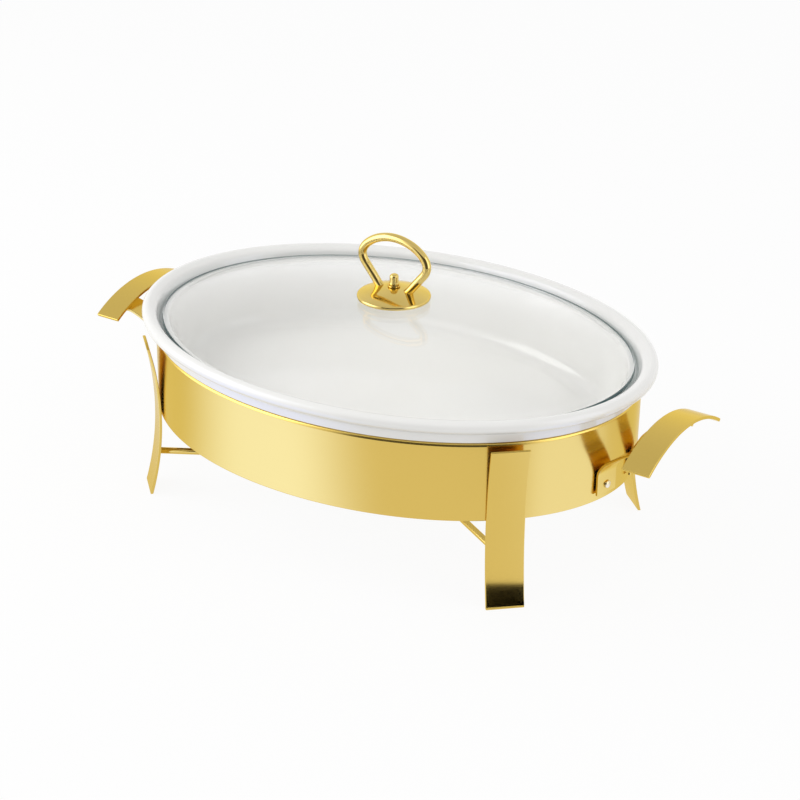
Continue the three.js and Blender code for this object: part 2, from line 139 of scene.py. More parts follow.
def strap_mesh(name, stations, width, thickness):
    """A flat bar through stations, each a centre, a width direction and a face direction."""
    section = ((-1, -1), (1, -1), (1, 1), (-1, 1))
    verts = [centre + across * (i * width / 2) + face * (j * thickness / 2)
             for centre, across, face in stations for i, j in section]
    last = len(verts) - 4
    faces, uvs = ring_faces(len(stations), 4, False)
    faces += [(0, 1, 2, 3), (last, last + 1, last + 2, last + 3)]
    uvs += 2 * [((0, 0), (1, 0), (1, 1), (0, 1))]
    return mesh_from(name, verts, faces, uvs)


def wire_mesh(name, path, radius, side, steps=40):
    """A round wire along a path that lies in the plane square to side, with eased ends."""
    path = [Vector(p) for p in path]
    verts = []
    ease = ((0, 0.55), (0.12, 0.86), (0.4, 1))
    start = (path[1] - path[0]).normalized()
    end = (path[-1] - path[-2]).normalized()
    stations = [(path[0] + start * (depth * radius), start, share) for depth, share in ease]
    for before, point, after in zip(path, path[1:], path[2:]):
        stations.append((point, (after - before).normalized(), 1))
    stations += [(path[-1] - end * (depth * radius), end, share)
                 for depth, share in reversed(ease)]
    for centre, along, share in stations:
        out = side.cross(along).normalized()
        for t in np.linspace(0, 2 * math.pi, steps, endpoint=False):
            verts.append(centre + (side * math.cos(t) + out * math.sin(t)) * (radius * share))
    last = len(verts) - steps
    faces, uvs = ring_faces(len(stations), steps, False)
    faces += [tuple(range(steps)), tuple(range(last, last + steps))]
    uvs += 2 * [tuple((s, 0) for s in range(steps))]
    return mesh_from(name, verts, faces, uvs)


def mesh_from(name, verts, faces, uvs):
    """A smooth mesh. U runs across the grain of the metal, and along a sheet of the studio."""
    mesh = bpy.data.meshes.new(name)
    mesh.from_pydata(verts, [], faces)
    layer = mesh.uv_layers.new(name="grain")
    layer.data.foreach_set("uv", [value for face in uvs for corner in face for value in corner])
    shape = bmesh.new()
    shape.from_mesh(mesh)
    bmesh.ops.recalc_face_normals(shape, faces=shape.faces)
    shape.to_mesh(mesh)
    shape.free()
    mesh.shade_smooth()
    mesh.set_sharp_from_angle(angle=SHARP)
    return mesh


def piece(node, mesh, material, body, edge=0):
    """Shows a mesh in place of a CAD node; edge is how far its sharp edges are rounded."""
    obj = bpy.data.objects.new(node + "_finish", mesh)
    bpy.context.scene.collection.objects.link(obj)
    mesh.materials.append(material)
    if edge:
        bevel = obj.modifiers.new("edges", "BEVEL")
        bevel.width = edge
        bevel.segments = 3
        bevel.limit_method = "ANGLE"
        bevel.angle_limit = SHARP
        bevel.harden_normals = True
    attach(obj, body)
    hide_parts(node)


# ---------------------------------------------------------------- materials

def new_material(name, color, roughness, metallic=0.0, **sockets):
    """A Principled material; sockets are set on the shader by name."""
    material = bpy.data.materials.new(name)
    material.use_nodes = True
    shader = material.node_tree.nodes["Principled BSDF"]
    shader.inputs["Base Color"].default_value = (*color, 1)
    shader.inputs["Roughness"].default_value = roughness
    shader.inputs["Metallic"].default_value = metallic
    for socket, value in sockets.items():
        shader.inputs[socket.replace("_", " ")].default_value = value
    return material


def noise(material, scale, stretch=(1, 1, 1), detail=2.0):
    """Noise over the object's own coordinates, in metres, with scale cells to the metre."""
    tree = material.node_tree
    coordinates = tree.nodes.new("ShaderNodeTexCoord")
    mapping = tree.nodes.new("ShaderNodeMapping")
    mapping.inputs["Scale"].default_value = stretch
    texture = tree.nodes.new("ShaderNodeTexNoise")
    texture.inputs["Scale"].default_value = scale
    texture.inputs["Detail"].default_value = detail
    tree.links.new(coordinates.outputs["Object"], mapping.inputs["Vector"])
    tree.links.new(mapping.outputs["Vector"], texture.inputs["Vector"])
    return texture.outputs["Fac"]


# The part of a noise's range that its values mostly lie in.
NOISE_LOW, NOISE_HIGH = 0.3, 0.7


def vary(material, socket, source, low, high):
    """Lets a socket run from low to high with a noise."""
    tree = material.node_tree
    ramp = tree.nodes.new("ShaderNodeMapRange")
    ramp.inputs["From Min"].default_value = NOISE_LOW
    ramp.inputs["From Max"].default_value = NOISE_HIGH
    ramp.inputs["To Min"].default_value = low
    ramp.inputs["To Max"].default_value = high
    tree.links.new(source, ramp.inputs["Value"])
    shader = tree.nodes["Principled BSDF"]
    tree.links.new(ramp.outputs["Result"], shader.inputs[socket])


def tint(material, source, low, high):
    """Lets the base colour run between two colours with a noise."""
    tree = material.node_tree
    ramp = tree.nodes.new("ShaderNodeValToRGB")
    ramp.color_ramp.elements[0].position = NOISE_LOW
    ramp.color_ramp.elements[1].position = NOISE_HIGH
    ramp.color_ramp.elements[0].color = (*low, 1)
    ramp.color_ramp.elements[1].color = (*high, 1)
    tree.links.new(source, ramp.inputs["Fac"])
    shader = tree.nodes["Principled BSDF"]
    tree.links.new(ramp.outputs["Color"], shader.inputs["Base Color"])


def bump(material, source, strength, distance):
    tree = material.node_tree
    node = tree.nodes.new("ShaderNodeBump")
    node.inputs["Strength"].default_value = strength
    node.inputs["Distance"].default_value = distance
    tree.links.new(source, node.inputs["Height"])
    shader = tree.nodes["Principled BSDF"]
    tree.links.new(node.outputs["Normal"], shader.inputs["Normal"])


def shade(color, factor):
    return tuple(channel * factor for channel in color)


GOLD = (0.72, 0.515, 0.13)
GOLD_EDGE = (0.97, 0.86, 0.5, 1)


def satin_gold():
    """Gold plating with a fine grain, which spreads reflections sideways."""
    material = new_material("satin_gold", GOLD, 0.13, 1.0, Anisotropic=0.92,
                            Specular_Tint=GOLD_EDGE)
    tint(material, noise(material, 9), shade(GOLD, 0.985), shade(GOLD, 1.015))
    vary(material, "Roughness", noise(material, 40), 0.12, 0.14)
    tree = material.node_tree
    across = tree.nodes.new("ShaderNodeTangent")
    across.direction_type = "UV_MAP"
    across.uv_map = "grain"
    shader = tree.nodes["Principled BSDF"]
    tree.links.new(across.outputs["Tangent"], shader.inputs["Tangent"])
    return material


def polished_gold():
    material = new_material("polished_gold", GOLD, 0.09, 1.0, Specular_Tint=GOLD_EDGE)
    tint(material, noise(material, 60), (0.74, 0.55, 0.17), (0.78, 0.59, 0.21))
    vary(material, "Roughness", noise(material, 90), 0.08, 0.1)
    return material


def pale_rivet():
    material = new_material("pale_rivet", (0.74, 0.62, 0.36), 0.2, 1.0)
    vary(material, "Roughness", noise(material, 700), 0.14, 0.28)
    bump(material, noise(material, 1500), 0.1, 0.05 * MM)
    return material


def zinc_steel():
    material = new_material("zinc_steel", (0.62, 0.63, 0.65), 0.3, 1.0)
    tint(material, noise(material, 400), (0.58, 0.59, 0.6), (0.66, 0.67, 0.69))
    vary(material, "Roughness", noise(material, 900), 0.24, 0.38)
    return material


def white_glaze():
    """Glossy white glaze, very slightly uneven as fired glaze is."""
    color = (0.86, 0.855, 0.835)
    material = new_material("white_glaze", color, 0.1, Coat_Weight=0.3, Coat_Roughness=0.08)
    tint(material, noise(material, 14), shade(color, 0.985), shade(color, 1.005))
    vary(material, "Roughness", noise(material, 30), 0.08, 0.14)
    bump(material, noise(material, 55, detail=1.0), 0.05, 0.3 * MM)
    return material


def let_lamps_through(material, color):
    """Lets lamp light pass straight through a glass, filtered by a colour."""
    tree = material.node_tree
    path = tree.nodes.new("ShaderNodeLightPath")
    filtered = tree.nodes.new("ShaderNodeBsdfTransparent")
    filtered.inputs["Color"].default_value = (*color, 1)
    mix = tree.nodes.new("ShaderNodeMixShader")
    tree.links.new(path.outputs["Is Shadow Ray"], mix.inputs["Fac"])
    tree.links.new(tree.nodes["Principled BSDF"].outputs["BSDF"], mix.inputs[1])
    tree.links.new(filtered.outputs["BSDF"], mix.inputs[2])
    tree.links.new(mix.outputs["Shader"], tree.nodes["Material Output"].inputs["Surface"])


def clear_glass():
    material = new_material("clear_glass", (1, 1, 1), 0.0, Transmission_Weight=1.0, IOR=1.3)
    tint(material, noise(material, 12), (0.985, 0.99, 0.985), (1, 1, 1))
    let_lamps_through(material, (0.905, 0.9, 0.885))
    return material


def glass_edge_painted_dark():
    """Polished rim of the lid, dark green because the light in it has crossed the whole lid: the
    green is the glass's own tint, and its darkness is painted shade in the colour.
    """
    material = new_material("glass_edge_painted_dark", (0.07, 0.14, 0.145), 0.12, Transmission_Weight=0.3)
    vary(material, "Roughness", noise(material, 60), 0.08, 0.16)
    # The dark filter paints a shadow on the dish's seat beside the lid's edge.
    let_lamps_through(material, (0.15, 0.2, 0.2))
    return material


def silicone():
    material = new_material("silicone", (0.8, 0.82, 0.81), 0.45, Subsurface_Weight=0.3)
    vary(material, "Roughness", noise(material, 500), 0.4, 0.55)
    return material


def thin_foil():
    material = new_material("thin_foil", (0.75, 0.76, 0.78), 0.25, 1.0)
    vary(material, "Roughness", noise(material, 300), 0.18, 0.35)
    bump(material, noise(material, 260), 0.35, 0.15 * MM)
    return material


def paraffin():
    material = new_material("paraffin", (0.9, 0.87, 0.79), 0.5, Subsurface_Weight=0.5)
    tint(material, noise(material, 120), (0.87, 0.84, 0.76), (0.92, 0.89, 0.82))
    bump(material, noise(material, 200), 0.3, 0.2 * MM)
    return material


def cotton():
    material = new_material("cotton", (0.82, 0.77, 0.66), 0.85, Sheen_Weight=0.3)
    tint(material, noise(material, 1800, (1, 1, 3)), (0.7, 0.65, 0.54), (0.88, 0.84, 0.74))
    bump(material, noise(material, 2200, (1, 1, 3)), 0.6, 0.2 * MM)
    return material


# ---------------------------------------------------------------- camera, floor and lights

def aim(obj, position, target):
    obj.location = position
    obj.rotation_mode = "QUATERNION"
    obj.rotation_quaternion = (Vector(target) - Vector(position)).to_track_quat("-Z", "Y")


def add_camera():
    """A long lens in front and to the right, looking down at the lid, rolled by a degree."""
    pivot = Vector((0, 0, 90 * MM))
    bearing = math.radians(33.33)
    height = math.radians(24.35)
    distance = 1.3741
    heading = math.radians(33.09)
    dip = math.radians(25.02)
    roll = math.radians(0.983)
    data = bpy.data.cameras.new("camera")
    data.lens = 91.43
    data.sensor_width = 36
    data.clip_end = 60
    camera = bpy.data.objects.new("camera", data)
    bpy.context.scene.collection.objects.link(camera)
    ahead = Vector((-math.sin(heading) * math.cos(dip), math.cos(heading) * math.cos(dip),
                    -math.sin(dip)))
    level = Vector((math.cos(heading), math.sin(heading), 0))
    upright = level.cross(ahead)
    right = level * math.cos(roll) + upright * math.sin(roll)
    up = upright * math.cos(roll) - level * math.sin(roll)
    back = Vector((math.sin(bearing) * math.cos(height), -math.cos(bearing) * math.cos(height),
                   math.sin(height)))
    turn = Matrix((right, up, -ahead)).transposed().to_4x4()
    camera.matrix_world = Matrix.Translation(pivot + back * distance) @ turn
    bpy.context.scene.camera = camera


FLOOR_REACH = 30
SWEEP_STEPS = 24


def stage_sheet(name, mesh, glow, seen_by=("glossy",)):
    """Part of the studio: a sheet with its own glow that only some kinds of ray meet. Lamps do
    the lighting, so the sheet isn't sampled as a lamp."""
    material = new_material(name, (0, 0, 0), 1.0, Specular_IOR_Level=0.0, Emission_Strength=1.0)
    shader = material.node_tree.nodes["Principled BSDF"]
    shader.inputs["Emission Color"].default_value = (*glow, 1)
    material.cycles.emission_sampling = "NONE"
    mesh.materials.append(material)
    sheet = bpy.data.objects.new(name, mesh)
    bpy.context.scene.collection.objects.link(sheet)
    for kind in ("camera", "diffuse", "glossy", "transmission", "shadow"):
        setattr(sheet, "visible_" + kind, kind in seen_by)
    return material


def fade_in(material, glow, start, share):
    """Lets a sheet's glow change from start at both ends to its own, a share of its length in."""
    tree = material.node_tree
    place = tree.nodes.new("ShaderNodeUVMap")
    place.uv_map = "grain"
    along = tree.nodes.new("ShaderNodeSeparateXYZ")
    ramp = tree.nodes.new("ShaderNodeValToRGB")
    ramp.color_ramp.interpolation = "EASE"
    ramp.color_ramp.elements[0].position = 0
    ramp.color_ramp.elements[0].color = (*start, 1)
    ramp.color_ramp.elements[1].position = 1
    ramp.color_ramp.elements[1].color = (*start, 1)
    for position in (share, 1 - share):
        ramp.color_ramp.elements.new(position).color = (*glow, 1)
    tree.links.new(place.outputs["UV"], along.inputs["Vector"])
    tree.links.new(along.outputs["X"], ramp.inputs["Fac"])
    shader = tree.nodes["Principled BSDF"]
    tree.links.new(ramp.outputs["Color"], shader.inputs["Emission Color"])


def sweep_mesh(name, near, far):
    """A sheet round the object from its near edge to its far one, each a first bearing, a last
    bearing, a radius and a height."""
    verts = []
    for first, last, radius, height in (near, far):
        for turn in np.radians(np.linspace(first, last, SWEEP_STEPS + 1)):
            verts.append((radius * math.sin(turn), -radius * math.cos(turn), height))
    faces = []
    uvs = []
    for i in range(SWEEP_STEPS):
        faces.append((i, i + 1, i + SWEEP_STEPS + 2, i + SWEEP_STEPS + 1))
        u = i / SWEEP_STEPS
        following = (i + 1) / SWEEP_STEPS
        uvs.append(((u, 0), (following, 0), (following, 1), (u, 1)))
    return mesh_from(name, verts, faces, uvs)


def add_floor():
    """White table top, lit from below as well as from above, and a dimmer one just under it
    that lights the object."""
    corners = ((-1, -1), (1, -1), (1, 1), (-1, 1))
    floors = (("floor", 0.91, 0, ("camera", "glossy", "transmission")),
              ("floor_light", 0.6, -1 * MM, ("diffuse",)))
    for name, glow, height, seen_by in floors:
        verts = [(FLOOR_REACH * x, FLOOR_REACH * y, height) for x, y in corners]
        mesh = mesh_from(name, verts, [(0, 1, 2, 3)], [corners])
        material = stage_sheet(name, mesh, (glow, glow, glow), seen_by)
        shader = material.node_tree.nodes["Principled BSDF"]
        shader.inputs["Base Color"].default_value = (0.08, 0.08, 0.08, 1)


def add_cards():
    """Cards that only reflections see: grey and cool white ones on the table, dark ones in
    front, and bright cool white ones that stand on both sides. Each has a name, a glow, the
    share of its length at each end over which the glow changes from grey, and its near and far
    edges. Where cards lie over each other on the table, each is a step higher than the last."""
    table = 0.5 * MM
    grey = (0.93, 0.92, 0.9)
    cards = (
        ("grey_table", grey, 0, (-180, 180, 1 * MM, table), (-180, 180, 3, table)),
        ("left_table", (1.32, 1.57, 2.9), 0.4, (-64, 27, 0.2, 2 * table),
         (-75, 8, 0.5, 2 * table)),
        ("right_table", (1.17, 1.3, 2), 0.3, (57, 111, 0.2, 2 * table),
         (58, 116, 0.5, 2 * table)),
        ("front_dark", (0.1, 0.095, 0.09), 0.12, (-6, 68, 0.43, 3 * table), (-14, 68, 2.2, 1.7)),
        ("foot_black", (0, 0, 0), 0, (50, 67, 0.172, 3 * table), (52, 64.3, 0.219, 3 * table)),
        ("foot_black_rise", (0, 0, 0), 0, (52, 64.3, 0.219, 0), (52, 64.3, 0.2225, 8 * MM)),
        ("left_bright", (2.8, 2.9, 3.3), 0.3, (-85, -13, 0.8, 0), (-85, -13, 1.2, 1.3)),
        ("right_bright", (1.9, 1.95, 2.2), 0.3, (67, 115, 0.8, 0), (67, 115, 1.2, 1.3)))
    for name, glow, share, near, far in cards:
        material = stage_sheet(name, sweep_mesh(name, near, far), glow)
        if share:
            fade_in(material, glow, grey, share)


def add_softbox(name, bearing, power):
    """Soft light that only lights: the bright cards stand for it in reflections."""
    distance = 1.3
    height = 0.85
    data = bpy.data.lights.new(name, "AREA")
    data.size = 0.9
    data.energy = power
    light = bpy.data.objects.new(name, data)
    bpy.context.scene.collection.objects.link(light)
    turn = math.radians(bearing)
    position = (distance * math.sin(turn), -distance * math.cos(turn), height)
    aim(light, position, (0, 0, 100 * MM))
    light.visible_camera = False
    light.visible_glossy = False


def add_light():
    """Softboxes on three sides, and a sky that is brightest at the horizon and in reflections."""
    world = bpy.data.worlds.new("studio")
    bpy.context.scene.world = world
    world.use_nodes = True
    tree = world.node_tree
    coordinates = tree.nodes.new("ShaderNodeTexCoord")
    direction = tree.nodes.new("ShaderNodeSeparateXYZ")
    fade = tree.nodes.new("ShaderNodeMapRange")
    fade.inputs["From Min"].default_value = 0.2
    fade.inputs["From Max"].default_value = 0.95
    fade.inputs["To Min"].default_value = 0.92
    fade.inputs["To Max"].default_value = 0.64
    tree.links.new(coordinates.outputs["Generated"], direction.inputs["Vector"])
    tree.links.new(direction.outputs["Z"], fade.inputs["Value"])
    background = tree.nodes["Background"]
    background.inputs["Color"].default_value = (1, 1, 1, 1)
    path = tree.nodes.new("ShaderNodeLightPath")
    boost = tree.nodes.new("ShaderNodeMath")
    boost.operation = "MULTIPLY_ADD"
    boost.inputs[1].default_value = 0.12  # how much more of the sky reflections see
    boost.inputs[2].default_value = 1
    strength = tree.nodes.new("ShaderNodeMath")
    strength.operation = "MULTIPLY"
    tree.links.new(path.outputs["Is Glossy Ray"], boost.inputs[0])
    tree.links.new(fade.outputs["Result"], strength.inputs[0])
    tree.links.new(boost.outputs["Value"], strength.inputs[1])
    tree.links.new(strength.outputs["Value"], background.inputs["Strength"])
    add_softbox("left_softbox", -65, 7)
    add_softbox("front_softbox", -20, 2)
    add_softbox("right_softbox", 97, 3)
    view = bpy.context.scene.view_settings
    view.view_transform = "Standard"
    view.look = "None"


# ---------------------------------------------------------------- stand

band_low, band_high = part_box("stand_band")
BAND_A, BAND_B = band_high.x, band_high.y
BAND_WALL = 1.4 * MM
BAND_SHOULDER = 2.5 * MM
BAND_LEDGE = 6.1 * MM


def add_band(gold):
    """Oval band with a rounded shoulder and a ledge turned in under the dish rim."""
    a, b = BAND_A - BAND_SHOULDER, BAND_B - BAND_SHOULDER
    top, bottom = band_high.z, band_low.z
    ease = 0.4 * MM
    inner = (BAND_A - BAND_WALL, BAND_B - BAND_WALL)
    ledge = (BAND_A - BAND_LEDGE, BAND_B - BAND_LEDGE)
    lower = rounded([(*inner, bottom + 5 * ease, 0), (*inner, bottom, ease),
                     (BAND_A, BAND_B, bottom, ease), (BAND_A, BAND_B, bottom + 5 * ease, 0)])
    upper = rounded([(a, b, top, 0), (*ledge, top, ease), (*ledge, top - BAND_WALL, ease),
                     (a, b, top - BAND_WALL, 0)])
    outline = lower + arc(a, b, top - BAND_SHOULDER, BAND_SHOULDER, 0, 90) + upper[1:-1]
    outline += arc(a, b, top - BAND_SHOULDER, BAND_SHOULDER - BAND_WALL, 90, 0) + lower[:1]
    piece("stand_band", oval_mesh("stand_band", outline), gold, "stand")


STRAP_WIDTH = 24.8 * MM
STRAP_THICKNESS = 2 * MM
STRAP_EDGE = 0.45 * MM
STRAP_STATIONS = 49
LEG_FACING = math.radians(43.6)
LEG_BOW_RADIUS = 205 * MM
LEG_TOUCH_HEIGHT = 57 * MM


def leg_stand_off(z):
    """How far a leg stands off the band at a height, beyond where it touches."""
    return (z - LEG_TOUCH_HEIGHT) ** 2 / (2 * LEG_BOW_RADIUS)


def add_legs(gold):
    """Flat straps bowed towards the band, each standing on the foot that the record gives."""
    feet = {mount["name"]: mount["pos_m"] for mount in frame["record"]["mounts"]}
    for corner, sx, sy in CORNERS:
        node = "leg_" + corner
        out = Vector((sx * math.sin(LEG_FACING), sy * math.cos(LEG_FACING), 0))
        across = Vector((out.y, -out.x, 0))
        foot = Vector(feet["foot_" + corner])
        stations = []
        for z in np.linspace(0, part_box(node)[1].z, STRAP_STATIONS):
            centre = foot + out * (leg_stand_off(z) - leg_stand_off(0))
            centre.z = z
            stations.append((centre, across, out))
        mesh = strap_mesh(node, stations, STRAP_WIDTH, STRAP_THICKNESS)
        piece(node, mesh, gold, "stand", edge=STRAP_EDGE)


def add_rods(gold):
    """Two rods that cross under the dish, each from one leg to the opposite one."""
    for node, sy in (("cross_rod_lower", 1), ("cross_rod_upper", -1)):
        low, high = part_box(node)
        radius = (high.z - low.z) / 2
        z = (high.z + low.z) / 2
        along = Vector((high.x, sy * high.y, 0)).normalized()
        half = Vector((high.x, high.y, 0)).length - radius * 0.4
        path = [along * (half * t) + Vector((0, 0, z)) for t in np.linspace(-1, 1, 9)]
        mesh = wire_mesh(node, path, radius, Vector((0, 0, 1)), 32)
        piece(node, mesh, gold, "stand")


HANDLE_THICKNESS = 2.2 * MM
HANDLE_ARCH_RADIUS = 92 * MM


def add_handles(gold):
    """Straps arched along the short side of the oval, beyond each end of the band."""
    for node in ("handle_right", "handle_left"):
        low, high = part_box(node)
        middle = HANDLE_ARCH_RADIUS - HANDLE_THICKNESS / 2
        sweep = math.asin(high.y / HANDLE_ARCH_RADIUS)
        stations = []
        for t in np.linspace(-sweep, sweep, STRAP_STATIONS):
            face = Vector((0, math.sin(t), math.cos(t)))
            centre = Vector(((low.x + high.x) / 2, 0, high.z - HANDLE_ARCH_RADIUS))
            stations.append((centre + face * middle, Vector((1, 0, 0)), face))
        mesh = strap_mesh(node, stations, high.x - low.x, HANDLE_THICKNESS)
        piece(node, mesh, gold, "stand", edge=STRAP_EDGE)


ARM_WIDTH = 18 * MM
ARM_THICKNESS = 1.8 * MM
ARM_Y = 18.5 * MM
ARM_SPLAY = math.radians(18)
ARM_TILT = math.radians(6)
ARM_TOP = 103.2 * MM
ARM_BEND_LENGTH = 12 * MM
TAB_STAND_OFF = 0.75 * MM
TAB_BOTTOM = 62.6 * MM
RIVET_HEIGHT = 68.6 * MM
# The bend of an arm, as millimetres out from the tab and height.
ARM_BEND = ((0, 70), (0, 77), (1.2, 80.6), (3.6, 84.2), (7.2, 88), (11.4, 91.3),
            (16.4, 95), (21.6, 98.8), (26.2, 101.6))
ARM_UNDER_HANDLE = (30 * MM, 33.5 * MM, 37 * MM)


def tab_frame():
    """Where an arm's tab lies on the band, and the way the band faces there."""
    x = BAND_A * math.sqrt(1 - (ARM_Y / BAND_B) ** 2)
    return x, math.atan2(ARM_Y / BAND_B ** 2, x / BAND_A ** 2)


def arm_under_handle(s):
    """Height of an arm's centre line under the handle, s out from the tab."""
    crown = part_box("handle_right")[1].z
    outer = ARM_Y + s * math.sin(ARM_SPLAY) + ARM_WIDTH / 2 * math.cos(ARM_SPLAY)
    lean = math.sqrt(1 - (outer / HANDLE_ARCH_RADIUS) ** 2)
    top = crown - HANDLE_ARCH_RADIUS * (1 - lean)
    rise = ARM_WIDTH / 2 * math.sin(ARM_TILT)
    return min(top - HANDLE_THICKNESS / lean - 2 * GAP + rise - ARM_THICKNESS / 2, ARM_TOP)


def add_arms(gold):
    """Strips that hang flat on the band and bend out and up under the handles."""
    x, facing = tab_frame()
    corners = [(0, TAB_BOTTOM)] + [(s * MM, z * MM) for s, z in ARM_BEND]
    line = spline(corners + [(s, arm_under_handle(s)) for s in ARM_UNDER_HANDLE], 4)
    for corner, sx, sy in CORNERS:
        stations = []
        for i, (s, z) in enumerate(line):
            run = line[min(i + 1, len(line) - 1)] - line[max(i - 1, 0)]
            slope = math.atan2(run[1], run[0])
            bend = min(max(s / ARM_BEND_LENGTH, 0), 1)
            heading = facing + (ARM_SPLAY - facing) * bend
            out = Vector((sx * math.cos(heading), sy * math.sin(heading), 0))
            across = Vector((-out.y, out.x, 0)) * (sx * sy * math.cos(ARM_TILT * bend))
            across.z = -math.sin(ARM_TILT * bend)
            face = out * math.sin(slope)
            face.z = -math.cos(slope)
            centre = Vector((sx * x, sy * ARM_Y, z))
            centre += out * (s + TAB_STAND_OFF + ARM_THICKNESS / 2)
            stations.append((centre, across, face))
        node = "handle_arm_" + corner
        mesh = strap_mesh(node, stations, ARM_WIDTH, ARM_THICKNESS)
        piece(node, mesh, gold, "stand", edge=STRAP_EDGE)


def add_rivets(metal):
    """Domed rivets through the tabs, with a closed head inside the band."""
    x, facing = tab_frame()
    face = TAB_STAND_OFF + ARM_THICKNESS
    inside = -BAND_WALL
    corners = [(0, inside - 1.2 * MM, 0), (2.3 * MM, inside - 1.2 * MM, 0.7 * MM),
               (2.5 * MM, inside, 0), (1.6 * MM, inside, 0), (1.6 * MM, face, 0),
               (2.8 * MM, face, 0.1 * MM), (2.6 * MM, face + 1.2 * MM, 0.8 * MM),
               (1.2 * MM, face + 1.75 * MM, 0.7 * MM), (0, face + 1.9 * MM, 0)]
    for corner, sx, sy in CORNERS:
        node = "arm_rivet_" + corner
        mesh = turned_mesh(node, corners, 48)
        out = Vector((sx * math.cos(facing), sy * math.sin(facing), 0))
        turn = out.to_track_quat("Z", "Y").to_matrix().to_4x4()
        mesh.transform(Matrix.Translation((sx * x, sy * ARM_Y, RIVET_HEIGHT)) @ turn)
        piece(node, mesh, metal, "stand")


def add_candle_cup(gold):
    low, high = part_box("candle_cup")
    radius = high.x
    wall = 1.2 * MM
    drain = 3 * MM
    corners = [(drain, low.z + wall / 2, 0), (drain, low.z, 0.3 * MM), (radius, low.z, 2 * MM),
               (radius, high.z, 0.5 * MM), (radius - wall, high.z, 0.5 * MM),
               (radius - wall, low.z + wall, 0.8 * MM), (drain, low.z + wall, 0.3 * MM),
               (drain, low.z + wall / 2, 0)]
    mesh = turned_mesh("candle_cup", corners)
    piece("candle_cup", mesh, gold, "stand")


# ---------------------------------------------------------------- dish

def add_dish(glaze):
    """Casserole dish: rolled rim, seat for the lid, sloping wall and rounded floor. Its
    sections are measured from a, b and z, inside the roll of the rim."""
    low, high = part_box("ceramic_dish")
    roll = 4.2 * MM
    inset = 5 * MM
    a, b, z = high.x - inset, high.y - inset, high.z - inset
    foot = band_high.z + GAP
    seat = high.z - 9.2 * MM
    outside = rounded([
        (0, 0, low.z, 0),
        (a - 21.5 * MM, b - 22.5 * MM, low.z, 9 * MM),
        (a - 15.8 * MM, b - 15.2 * MM, low.z + 17 * MM, 7 * MM),
        (a - 13.4 * MM, b - 11 * MM, foot, 0.8 * MM),
        (a - 4.8 * MM, b - 2.4 * MM, foot, 0.9 * MM),
        (a - 3.4 * MM, b - 1.7 * MM, z - 5.8 * MM, 1.0 * MM),
        (a - 3.2 * MM, b - 2.6 * MM, z - 4.4 * MM, 0.5 * MM),
        (a - 0.6 * MM, b - 0.6 * MM, z - 3.3 * MM, 0)])
    rim = arc(high.x - roll, high.y - roll, high.z - roll, roll, -107, 100, 28)
    inside = rounded([
        (a - 0.4 * MM, b - 0.4 * MM, z + 4.85 * MM, 0),
        (a - 5.6 * MM, b - 3.4 * MM, z + 2.4 * MM, 2.2 * MM),
        (a - 8.9 * MM, b - 5.6 * MM, seat, 1.2 * MM),
        (a - 14.8 * MM, b - 12 * MM, seat, 1.6 * MM),
        (a - 17.8 * MM, b - 15.6 * MM, z - 13.6 * MM, 4 * MM),
        (a - 21.8 * MM, b - 22.6 * MM, low.z + 9 * MM, 7.5 * MM),
        (a - 31 * MM, b - 32.4 * MM, low.z + 6.2 * MM, 6 * MM),
        (0, 0, low.z + 5.8 * MM, 0)], 8)
    piece("ceramic_dish", oval_mesh("ceramic_dish", outside + rim + inside), glaze,
          "dish")


# ---------------------------------------------------------------- lid

GLASS = 3.6 * MM
LID_HOLE = 4.2 * MM
LID_FLAT = 14 * MM
# Shares of the lid's width: where the dome ends, where its curve would come down to the lip,
# and where the polished edge begins, which takes the glass with painted dark shade.
DOME_SHARE = 0.965
DOME_REACH = 0.97
EDGE_SHARE = 0.985


def add_lid_glass(glass, edge_glass_painted_dark):
    """Glass dome, oval at the rim and nearly round at the knob, with a screw hole and a
    polished edge whose dark green is partly the glass's own tint and partly painted shade."""
    low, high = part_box("glass_lid")
    a, b, crown = high.x, high.y, high.z
    edge_top = low.z + GLASS
    rise = crown - edge_top
    lip = 0.4 * MM
    top = []
    for k in np.linspace(DOME_SHARE, LID_FLAT / a, 40):
        rounder = (a - b) * (LID_FLAT / a) * (DOME_SHARE - k) / DOME_SHARE
        height = edge_top + lip + (rise - lip) * (1 - (k / DOME_REACH) ** 2)
        top.append(np.array((a * k, b * k + rounder, height)))
    under = [p - np.array((0, 0, GLASS)) for p in reversed(top)]
    middle = edge_top - GLASS / 2
    rim = rounded([
        (*under[-1], 0),
        (a - 1 * MM, b - 1 * MM, edge_top - GLASS, 1 * MM),
        (a, b, middle, 1 * MM),
        (a - 0.8 * MM, b - 0.8 * MM, edge_top, 0.9 * MM),
        (*top[0], 0)], 5)
    hole = [np.array((LID_HOLE, LID_HOLE, z)) for z in (crown, crown - GLASS)]
    outline = rim[1:-1] + top + hole + under
    mesh = oval_mesh("glass_lid", outline + outline[:1])
    piece("glass_lid", mesh, glass, "lid")
    # The polished edge takes the glass with painted dark shade and painted shadow.
    mesh.materials.append(edge_glass_painted_dark)
    for face in mesh.polygons:
        x, y, z = face.center
        if math.hypot(x / a, y / b) > EDGE_SHARE and z < edge_top - 0.2 * MM:
            face.material_index = 1


